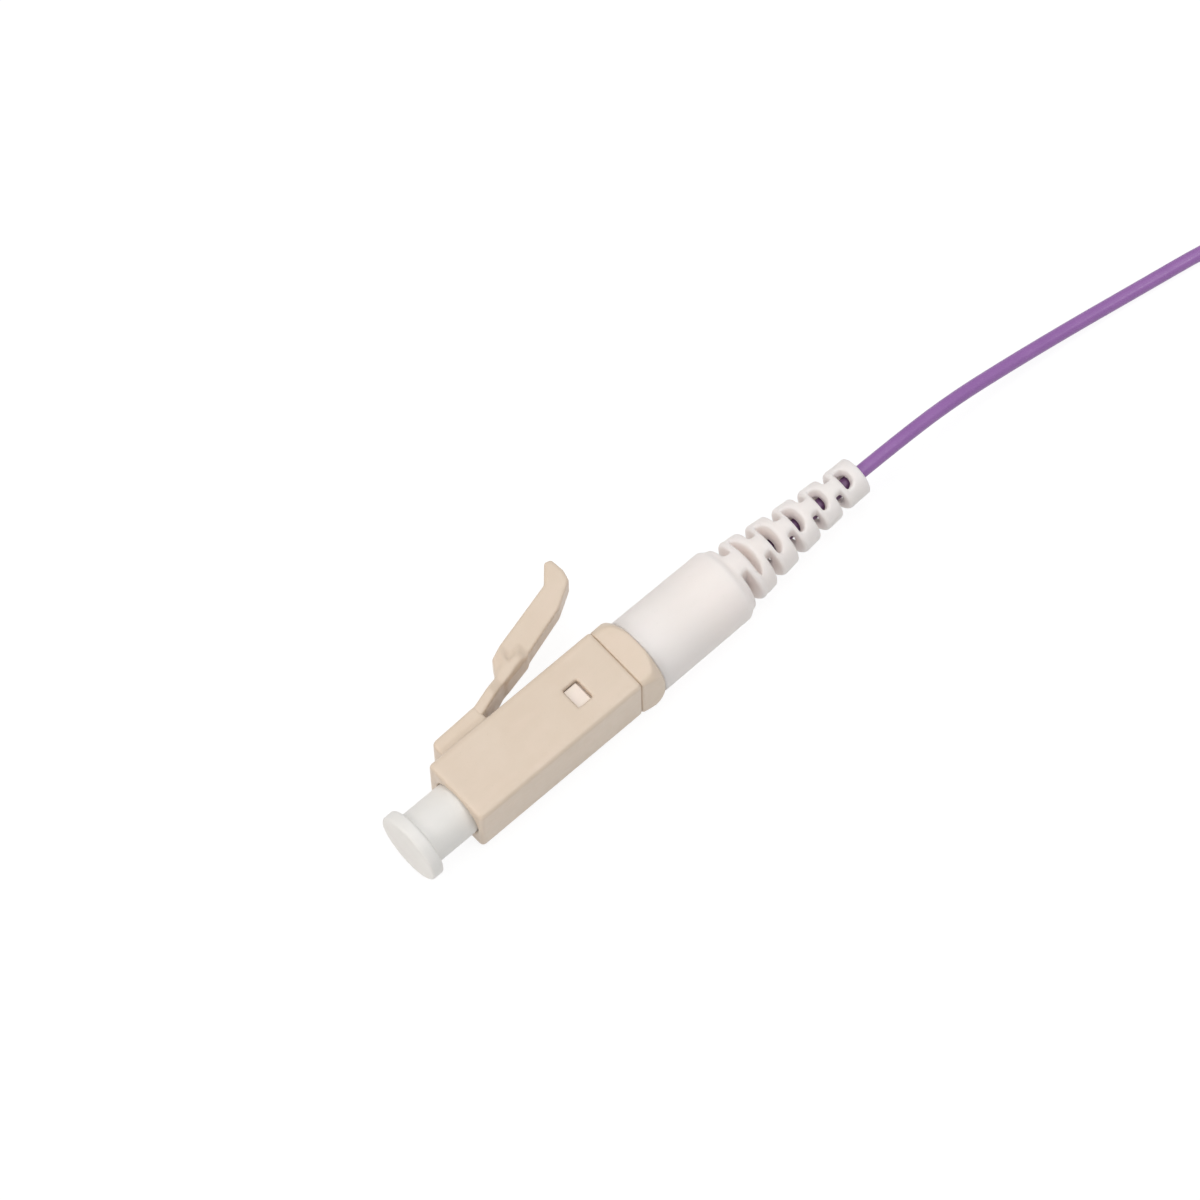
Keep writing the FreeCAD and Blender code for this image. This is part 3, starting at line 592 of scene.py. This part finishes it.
def housing():
    """The square body with its root block, front socket, rear cavity and snap windows."""
    grid = Grid((0, -HALF, -HALF), (SEAM, ARM_TOP, HALF), COARSE)
    section = round_square(raised(grid.y), grid.z, HALF, PLUG_EDGE)
    field = meet(section, -grid.x, NOSE_EDGE)
    field = meet(field, grid.x - SEAM, SEAM_EDGE)
    field = join(field, root_block(grid), ROOT_FILLET)
    radius = np.hypot(grid.y, grid.z)
    socket = np.maximum(radius - SOCKET_RADIUS, grid.x - SOCKET_DEPTH)
    field = cut(field, socket, SOCKET_LIP)
    field = cut(field, radius - WEB_HOLE)
    hollow = round_square(grid.y, grid.z, CAVITY_HALF, CAVITY_CORNER)
    field = cut(field, np.maximum(hollow, CAVITY_FRONT - grid.x))
    window = np.maximum(slab(grid.x - WINDOW_MIDDLE, -WINDOW_HALF[0], WINDOW_HALF[0]),
                        slab(grid.y, -WINDOW_HALF[1], WINDOW_HALF[1]))
    field = cut(soften(field, 1), window, WINDOW_LIP)
    return field_piece("housing_shell", grid, soften(field, 1), beige)


# ---------------------------------------------------------------- latch
ARM_OUTLINE = [
    (LEVER_FRONT, ARM_LOW), (ROOT_END, ARM_LOW), (RAMP_X, 3.74), (9.4, 4.26), (9.4, 5.03),
    (8.55, 4.86), (8.55, 5.56), (RAMP_X, 4.44), (ROOT_END, ARM_TOP),
    (LEVER_FRONT, root_top(LEVER_FRONT)),
]
PAD_OUTLINE = [
    (7.1, 4.3), (7.1, 4.44), (7.75, 5.56), (8.7, 5.94), (13.3, 7.10), (14.3, PAD_TOP), (14.75, 8.05),
    (PAD_REAR, 7.05), (14.65, 6.30), (12.95, 5.31), (9.4, 4.26), (7.4, 3.83),
]


def ramp(values, start, length):
    """0 up to the start, 1 after the length, and even between."""
    return np.clip((values - start) / length, 0, 1)


def latch():
    """The arm, its shoulders and the thumb pad in one moulding."""
    grid = Grid((LEVER_FRONT, ARM_LOW, -ROOT_HALF), (PAD_REAR, PAD_TOP, ROOT_HALF), FINE)
    taper = ramp(grid.x, TAPER_START, RAMP_X - TAPER_START)
    half = ROOT_HALF + (ARM_HALF - ROOT_HALF) * taper
    # where the arm's sides stand out past the pad's, its rear and upper faces lean in
    lean = np.maximum(np.abs(grid.z) - PAD_HALF, 0)
    x = grid.x + lean * ramp(grid.x, *LEAN_REAR)
    y = grid.y + lean * ramp(grid.y, *LEAN_UPPER)
    arm = meet(outline(x, y, ARM_OUTLINE), np.abs(grid.z) - half, ARM_EDGE)
    pad = meet(outline(grid.x, grid.y, PAD_OUTLINE), np.abs(grid.z) - PAD_HALF, ARM_EDGE)
    field = soften(join(arm, pad, ARM_FILLET), 4)
    # inside the root block the arm is a little thinner, so that their surfaces don't lie in one another
    sunk = ROOT_SINK * np.clip((ROOT_END - SINK_END - grid.x) / SINK_LENGTH, 0, 1)
    return field_piece("latch_lever", grid, field + sunk, beige)


# ---------------------------------------------------------------- collar
def collar():
    """Flush with the housing at the seam, its corners turned down to the round rear edge."""
    length = COLLAR_REAR - SEAM
    reach = math.hypot(HALF, HALF)
    grid = Grid((SEAM, -reach, -reach), (COLLAR_REAR, reach, reach), FINE)
    radius = np.hypot(grid.y, grid.z)
    groove = np.where(grid.x < SEAM + SEAM_GROOVE[0], SEAM_GROOVE[1], 0.0)
    share = np.clip((grid.x - SEAM) / length, 0, 1)
    half = HALF + (ROUND_END - HALF) * share - groove
    lift = RISE * (1 - share)
    y = np.where(grid.y > lift, grid.y - lift, np.minimum(grid.y, 0.0))
    flats = round_square(y, grid.z, half, COLLAR_CORNER)
    profile = [(SEAM - 1, -1.0), (SEAM - 1, COLLAR_LIMITS[0][1])]
    profile += [(SEAM + length * along, limit) for along, limit in COLLAR_LIMITS]
    profile += [(COLLAR_REAR, -1.0)]
    field = meet(flats, outline(grid.x, radius, profile), COLLAR_EDGE)
    field = np.maximum(field, SEAM - grid.x)
    field = cut(field, radius - NECK_BORE)
    return field_piece("collar_ring", grid, soften(field, 1), beige)


# ---------------------------------------------------------------- boot
def tail_radius(x):
    """The tail's radius, which falls fast at first and then slowly."""
    share = min(max((x - TAIL_START) / (BOOT_END - TAIL_START), 0.0), 1.0)
    return TAIL_END_RADIUS + TAIL_FLARE * (1 - share) ** TAIL_CURVE


def boot_profile():
    """Corners of the boot's outside: the barrel, its rounded rear end and the tail."""
    profile = [(COLLAR_REAR, -1.0), (COLLAR_REAR, ROUND_END)]
    start = TAIL_START - BARREL_EDGE[0]
    for share in np.linspace(0, 1, 8):
        fall = BARREL_DROP[0] + BARREL_DROP[1] * eased(share)
        profile.append((start + BARREL_EDGE[1] * share, ROUND_END - fall))
    profile += [(x, tail_radius(x)) for x in np.linspace(TAIL_START + 0.4, BOOT_END, 12)]
    profile += [(BOOT_END, -1.0)]
    return [(float(x), float(radius)) for x, radius in profile]


def boot():
    """The soft boot: barrel over the neck and a tail cut by notches and windows in turn."""
    grid = Grid((COLLAR_REAR, -ROUND_END, -ROUND_END), (BOOT_END, ROUND_END, ROUND_END), COARSE)
    radius = np.hypot(grid.y, grid.z)
    field = outline(grid.x, radius, boot_profile())
    nothing = np.full(grid.shape, FAR)
    # notches from both sides: straight cuts, then a softer one along their sloping rear walls
    slots, leads = nothing, nothing
    for number, web in enumerate(NOTCH_WEBS):
        notch = TAIL_START + SLOT_START + SLOT_PITCH * number
        beside = web - np.abs(grid.y)
        straight = slab(grid.x - notch, -NOTCH_HALF, NOTCH_HALF - NOTCH_SHORT)
        slots = np.minimum(slots, np.maximum(straight, beside))
        back = NOTCH_HALF + NOTCH_RAMP * np.maximum(-beside, 0)
        sloping = np.maximum(notch - grid.x, grid.x - notch - back)
        leads = np.minimum(leads, np.maximum(sloping, beside))
    # windows from above and below: an upright front wall, and an oval that closes in with depth
    height = np.abs(grid.z)
    scoops, lips = nothing, nothing
    for front, reach, side in zip(WINDOW_FRONTS, WINDOW_REACH, WINDOW_SIDES):
        behind = np.maximum(grid.x - (TAIL_START + front), 0)
        closing = WINDOW_RAMP * np.maximum(tail_radius(TAIL_START + front) - height, 0)
        long = np.maximum(reach - closing, WINDOW_LEAST[0])
        across = np.maximum(side - closing, WINDOW_LEAST[1])
        total = (behind / long) ** WINDOW_POWER + np.abs(grid.y / across) ** WINDOW_POWER
        oval = (total ** (1 / WINDOW_POWER) - 1) * long
        oval = np.maximum(oval, WINDOW_FLOOR - height)
        front_wall = TAIL_START + front - grid.x
        scoops = np.minimum(scoops, np.maximum(oval, front_wall))
        lips = np.minimum(lips, np.maximum(oval, front_wall + LIP_SETBACK))
    for sharp, soft in ((slots, leads), (scoops, lips)):
        field = cut(cut(field, sharp, SHARP_LIP), soft, SOFT_LIP)
    neck_room = np.maximum(radius - NECK_BORE, grid.x - NECK_ROOM_END)
    field = cut(field, np.minimum(neck_room, radius - BUFFER_BORE))
    return field_piece("boot_sleeve", grid, soften(field, 1), boot_white)


# ---------------------------------------------------------------- cap, ferrule and what is inside
def spring():
    """The coil spring behind the flange: round wire in a helix with closed ends."""
    turns = (spring_high.x - spring_low.x) / SPRING_PITCH
    radius = spring_high.y - WIRE / 2
    reach = (spring_high.x - spring_low.x - WIRE) / 2
    middle = (spring_high.x + spring_low.x) / 2
    share = np.linspace(-1, 1, SPRING_STEPS)
    x = middle + np.clip(share * CLOSED_ENDS, -1, 1) * reach
    angle = share * turns * np.pi
    centre = np.stack([x, radius * np.cos(angle), radius * np.sin(angle)], axis=1)
    along = np.gradient(centre, axis=0)
    along /= np.linalg.norm(along, axis=1, keepdims=True)
    aside = np.cross(along, centre * (0, 1, 1) / radius)
    outward = np.cross(aside, along)
    points = []
    for spot, out, side in zip(centre, outward, aside):
        for step in range(WIRE_SIDES):
            turn = 2 * np.pi * step / WIRE_SIDES
            points.append(spot + WIRE / 2 * (np.cos(turn) * out + np.sin(turn) * side))
    last_ring = (SPRING_STEPS - 1) * WIRE_SIDES
    faces = [tuple(range(WIRE_SIDES))[::-1], tuple(range(last_ring, last_ring + WIRE_SIDES))]
    faces += ring_faces(SPRING_STEPS, WIRE_SIDES, closed=False)
    return mesh_piece("coil_spring", points, faces, spring_steel)


def cap():
    """The pull-off cap: flange to grip, stem in the socket, blind hole for the ferrule."""
    front, back = cap_low.x, -CAP_STEM_LENGTH
    brim = -cap_low.y - CAP_RIM
    section = [(front, 0.0), (front, brim - CAP_RING)]
    section += arc_points((front + CAP_RIM, brim), CAP_RIM, 180, 90, 6)
    section += arc_points((back - CAP_RIM, brim), CAP_RIM, 90, 0, 6)
    section += arc_points((back + CAP_FILLET, CAP_STEM + CAP_FILLET), CAP_FILLET, 180, 270, 5)
    section += [(CAP_INSERT - CAP_TIP, CAP_STEM), (CAP_INSERT, CAP_STEM - CAP_TIP),
                (CAP_INSERT, CAP_HOLE + CAP_HOLE_LIP), (CAP_INSERT - CAP_HOLE_LIP, CAP_HOLE),
                (CAP_HOLE_END, CAP_HOLE), (CAP_HOLE_END, 0.0)]
    return turned("cap_plug", section, cap_white, closed=False)


def ferrule_piece():
    """The ceramic ferrule: bored through, its tip chamfered in two steps."""
    radius = ferrule_high.z
    tip, rear = ferrule_low.x, ferrule_high.x
    # the bore's mouth, the flat tip, its small round edge, the cone and the full radius
    section = [(tip, FERRULE_BORE), (tip, radius - 0.2)]
    section += arc_points((tip + 0.06, radius - 0.21), 0.05, 150, 120, 2)
    section += [(tip + 0.25, radius - 0.015), (tip + 0.3, radius), (rear, radius), (rear, FERRULE_BORE)]
    return turned("ferrule_rod", section, zirconia, sides=64, sharp=25)


def buffer_piece():
    """The buffered fibre inside the plug, running on a little way into the free fibre, in a darker copy
    of the buffer's colour: painted shade for the shadow inside the boot.
    """
    front, rear = buffer_low.x, buffer_high.x + BUFFER_OVERLAP
    section = [(front, STRAND_HOLE), (front, BUFFER_RADIUS), (rear, BUFFER_RADIUS), (rear, 0.0)]
    return turned("buffer_run", section, buffer_shaded, sides=40, closed=False)


# ---------------------------------------------------------------- the free fibre and its coil
ROUTE = [
    (32.0, 0.0, 0.0),
    (36.2, 0.0, -0.1),
    (40.6, -0.05, -0.62),
    (45.2, -0.42, -1.35),
    (49.8, -0.95, -1.9),
    (54.4, -1.68, -2.15),
    (60.8, -2.80, -2.15),
    (64.4, -4.20, -2.12),
    (68.0, -6.05, -2.06),
    (71.45, -7.82, -2.0),
    (73.53, -8.13, -2.0),
]
COIL_CENTRE = (74.0, -0.4)
COIL_LAYERS = 5
COIL_OUTER = 7.8
COIL_INNER = 3.0
COIL_BOTTOM = -2.0
TURN_GAP = 0.9
PER_TURN = 16  # points on each turn
CLIMB_STEPS = 4  # points on the way up to the next layer
SLACK_WIDE = 0.012  # how uneven the turns are, as shares of their radius
SLACK_FINE = 0.006


def coil_route():
    """The wound part, anticlockwise from above: layers that go inward and outward in turn."""
    centre = Vector((*COIL_CENTRE, 0))
    first = Vector(ROUTE[-1]) - centre
    angle = math.atan2(first.y, first.x)
    turn = 2 * math.pi / PER_TURN
    spiral_steps = round((COIL_OUTER - COIL_INNER) / TURN_GAP * PER_TURN)
    out = 1 / math.cos(turn / 2)
    spots = []
    for layer in range(COIL_LAYERS):
        start, stop = (COIL_OUTER, COIL_INNER) if layer % 2 == 0 else (COIL_INNER, COIL_OUTER)
        for step in range(spiral_steps + CLIMB_STEPS):
            angle += turn
            share = min(step / spiral_steps, 1.0)
            climb = max(step - spiral_steps, 0) / CLIMB_STEPS
            radius = start + (stop - start) * share
            slack = 1 + SLACK_WIDE * math.cos(2 * angle + 0.7) + SLACK_FINE * math.sin(3 * angle + layer)
            height = COIL_BOTTOM + TURN_GAP * (layer + (climb if layer < COIL_LAYERS - 1 else 0.0))
            spots.append((centre.x + radius * out * slack * math.cos(angle),
                          centre.y + radius * out * slack * math.sin(angle), height))
    return spots


def fibre():
    """The whole free fibre, one line from inside the boot to its bare end in the coil."""
    curve = bpy.data.curves.new("fibre_run", "CURVE")
    curve.dimensions = "3D"
    curve.bevel_depth = BUFFER_RADIUS * MM
    curve.bevel_resolution = 6
    curve.resolution_u = 6
    curve.use_fill_caps = True
    spline = curve.splines.new("NURBS")
    spots = ROUTE + coil_route()
    spline.points.add(len(spots) - 1)
    for point, spot in zip(spline.points, spots):
        point.co = (*(part * MM for part in spot), 1.0)
    spline.order_u = 3
    spline.use_endpoint_u = True
    curve.materials.append(buffer_purple)
    run = bpy.data.objects.new("fibre_run", curve)
    bpy.context.scene.collection.objects.link(run)
    return run


TIE_THICK = 0.15
TIE_WIDTH = 1.6
COIL_MIDDLE = 5.4  # radius of the middle of the wound band
TIE_ANGLE = math.radians(60.0) + TIE_WIDTH / 2 / COIL_MIDDLE  # its near edge is at 60 degrees
TIE_CORNER = 0.55
TIE_EDGE = 0.05
TIE_SPARE = 0.5  # from the outermost and innermost centrelines to the tie


def tie_loop(thick):
    """The tie's course round the coil's section, as (radius, height), so far outside its inner face."""
    inner, outer = COIL_INNER - TIE_SPARE + TIE_CORNER, COIL_OUTER + TIE_SPARE - TIE_CORNER
    low = COIL_BOTTOM - BUFFER_RADIUS + TIE_CORNER
    high = COIL_BOTTOM + TURN_GAP * (COIL_LAYERS - 1) + BUFFER_RADIUS - TIE_CORNER
    spots = []
    for across, up, start in ((outer, high, 0), (inner, high, 90), (inner, low, 180), (outer, low, 270)):
        spots += arc_points((across, up), TIE_CORNER + thick, start, start + 90, 8)
    return spots


def tie():
    """A thin band round the coil's turns, with its edges rounded off."""
    inner, outer = tie_loop(0.0), tie_loop(TIE_THICK)
    half = TIE_WIDTH / 2
    flat = half - TIE_EDGE
    # (along the coil's turns, share of the thickness)
    profile = [(-half, 0.2), (-half, 0.75), (-flat, 1.0), (flat, 1.0), (half, 0.75), (half, 0.2),
               (flat, 0.0), (-flat, 0.0)]
    points = []
    for (r0, z0), (r1, z1) in zip(inner, outer):
        for along, depth in profile:
            radial, up = r0 + (r1 - r0) * depth, z0 + (z1 - z0) * depth
            x = COIL_CENTRE[0] + radial * math.cos(TIE_ANGLE) - along * math.sin(TIE_ANGLE)
            y = COIL_CENTRE[1] + radial * math.sin(TIE_ANGLE) + along * math.cos(TIE_ANGLE)
            points.append((x, y, up))
    faces = ring_faces(len(inner), len(profile), closed=True)
    return mesh_piece("coil_band", points, faces, tie_clear)


# ---------------------------------------------------------------- put together
shell = housing()
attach(shell, "plug")
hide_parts("plug_housing")

lever = latch()
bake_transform(lever)
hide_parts("latch_arm")

ring = collar()
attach(ring, "plug")
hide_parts("rear_collar")

sleeve = boot()
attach(sleeve, "plug")
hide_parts("boot")

cap_piece = cap()
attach(cap_piece, "cap")
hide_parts("dust_cap")

rod = ferrule_piece()
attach(rod, "ferrule_group")
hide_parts("ferrule")

run_in_plug = buffer_piece()
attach(run_in_plug, "plug")
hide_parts("buffer_in_plug")

run = fibre()
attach(run, "plug")
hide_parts("fibre_cord", "fibre_coil")

coil_spring = spring()
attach(coil_spring, "plug")
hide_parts("spring")
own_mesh(coil_spring)

band = tie()
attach(band, "plug")
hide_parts("coil_tie")

CARRIED = {"inner_body": tab_white, "ferrule_flange": nickel, "glass_fibre": glass_core}
for node, material in CARRIED.items():
    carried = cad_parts[node]
    carried.data.materials.clear()
    carried.data.materials.append(material)

# ---------------------------------------------------------------- floor, light and camera
scene = bpy.context.scene
scene.view_settings.view_transform = "Standard"


def seen_ray(tree):
    """1 where the camera, a reflection or a view through glass meets the surface, else 0."""
    path = tree.nodes.new("ShaderNodeLightPath")
    total = path.outputs["Is Camera Ray"]
    for name in ("Is Glossy Ray", "Is Transmission Ray"):
        add = tree.nodes.new("ShaderNodeMath")
        add.operation = "MAXIMUM"
        tree.links.new(total, add.inputs[0])
        tree.links.new(path.outputs[name], add.inputs[1])
        total = add.outputs["Value"]
    return total


SKY_STRENGTH = 0.35
SKY_COLOUR = (0.975, 0.995, 1.02, 1.0)
world = bpy.data.worlds.new("studio")
scene.world = world
world.use_nodes = True
sky = world.node_tree
sky.nodes.clear()
lit = sky.nodes.new("ShaderNodeBackground")
lit.inputs["Color"].default_value = SKY_COLOUR
lit.inputs["Strength"].default_value = SKY_STRENGTH
white = sky.nodes.new("ShaderNodeBackground")
white.inputs["Strength"].default_value = 1.0
choose = sky.nodes.new("ShaderNodeMixShader")
out = sky.nodes.new("ShaderNodeOutputWorld")
sky.links.new(seen_ray(sky), choose.inputs["Fac"])
sky.links.new(lit.outputs["Background"], choose.inputs[1])
sky.links.new(white.outputs["Background"], choose.inputs[2])
sky.links.new(choose.outputs["Shader"], out.inputs["Surface"])

FLOOR_REACH = 1.5
FLOOR_GAP = 0.00002  # in metres, between the floor and the lowest point of the boot
FLOOR_COLOUR = (0.86, 0.855, 0.845, 1.0)  # as the object's own light meets it
SHADE_COLOUR = (0.18, 0.18, 0.18, 1.0)  # as the camera sees it: this takes the shadow, and the glow adds
GLOW_STRENGTH = 0.88
corners = [(-1, -1), (1, -1), (1, 1), (-1, 1)]
floor_mesh = bpy.data.meshes.new("floor")
floor_mesh.from_pydata([(x * FLOOR_REACH, y * FLOOR_REACH, FLOOR * MM - FLOOR_GAP) for x, y in corners],
                       [], [(0, 1, 2, 3)])
floor = bpy.data.objects.new("floor", floor_mesh)
scene.collection.objects.link(floor)
paper = bpy.data.materials.new("white_paper")
paper.use_nodes = True
leaf = paper.node_tree
base = leaf.nodes["Principled BSDF"]
base.inputs["Base Color"].default_value = FLOOR_COLOUR
base.inputs["Roughness"].default_value = 0.9
base.inputs["Specular IOR Level"].default_value = 0.1
dim = leaf.nodes.new("ShaderNodeBsdfDiffuse")
dim.inputs["Color"].default_value = SHADE_COLOUR
glow = leaf.nodes.new("ShaderNodeEmission")
glow.inputs["Strength"].default_value = GLOW_STRENGTH
pale = leaf.nodes.new("ShaderNodeAddShader")
pick = leaf.nodes.new("ShaderNodeMixShader")
leaf.links.new(dim.outputs["BSDF"], pale.inputs[0])
leaf.links.new(glow.outputs["Emission"], pale.inputs[1])
leaf.links.new(seen_ray(leaf), pick.inputs["Fac"])
leaf.links.new(base.outputs["BSDF"], pick.inputs[1])
leaf.links.new(pale.outputs["Shader"], pick.inputs[2])
leaf.links.new(pick.outputs["Shader"], leaf.nodes["Material Output"].inputs["Surface"])
floor_mesh.materials.append(paper)


def softbox(name, place, aim, width, watts, colour):
    """A square area lamp in metres, facing a point."""
    data = bpy.data.lights.new(name, "AREA")
    data.shape = "SQUARE"
    data.size = width
    data.energy = watts
    data.color = colour
    lamp = bpy.data.objects.new(name, data)
    scene.collection.objects.link(lamp)
    lamp.location = place
    lamp.rotation_mode = "QUATERNION"
    lamp.rotation_quaternion = (aim - place).to_track_quat("-Z", "Y")


MIDDLE = Vector((0.015, 0.001, 0.0))
# name, place from the middle, width, watts and colour
LAMPS = (
    ("top_box", (0.0, 0.12, 0.9), 0.7, 3.2, (1.0, 1.0, 1.0)),
    ("edge_box", (0.24, -0.44, 0.8), 0.25, 1.35, (1.0, 1.0, 1.0)),
    ("nose_box", (-0.62, 0.27, 0.62), 0.4, 2.0, (1.0, 0.92, 0.85)),
    ("low_box", (-0.85, -0.1, 0.12), 0.4, 0.7, (1.0, 0.86, 0.74)),
)
for name, offset, width, watts, colour in LAMPS:
    softbox(name, MIDDLE + Vector(offset), MIDDLE, width, watts, colour)

AIM = Vector((0.015388, 0.004350, -0.00002))
DISTANCE = 0.405339
FOCAL_LENGTH = 201.2
AZIMUTH = math.radians(-40.520)
ELEVATION = math.radians(66.497)
ROLL = math.radians(-1.592)
camera_data = bpy.data.cameras.new("camera")
camera_data.sensor_width = 36.0
camera_data.lens = FOCAL_LENGTH
camera_data.clip_start = 0.01
camera_data.clip_end = 20.0
camera = bpy.data.objects.new("camera", camera_data)
scene.collection.objects.link(camera)
back = Vector((math.sin(AZIMUTH) * math.cos(ELEVATION), -math.cos(AZIMUTH) * math.cos(ELEVATION),
               math.sin(ELEVATION)))
camera.location = AIM + back * DISTANCE
camera.rotation_mode = "QUATERNION"
camera.rotation_quaternion = (-back).to_track_quat("-Z", "Y") @ Quaternion((0, 0, 1), ROLL)
scene.camera = camera
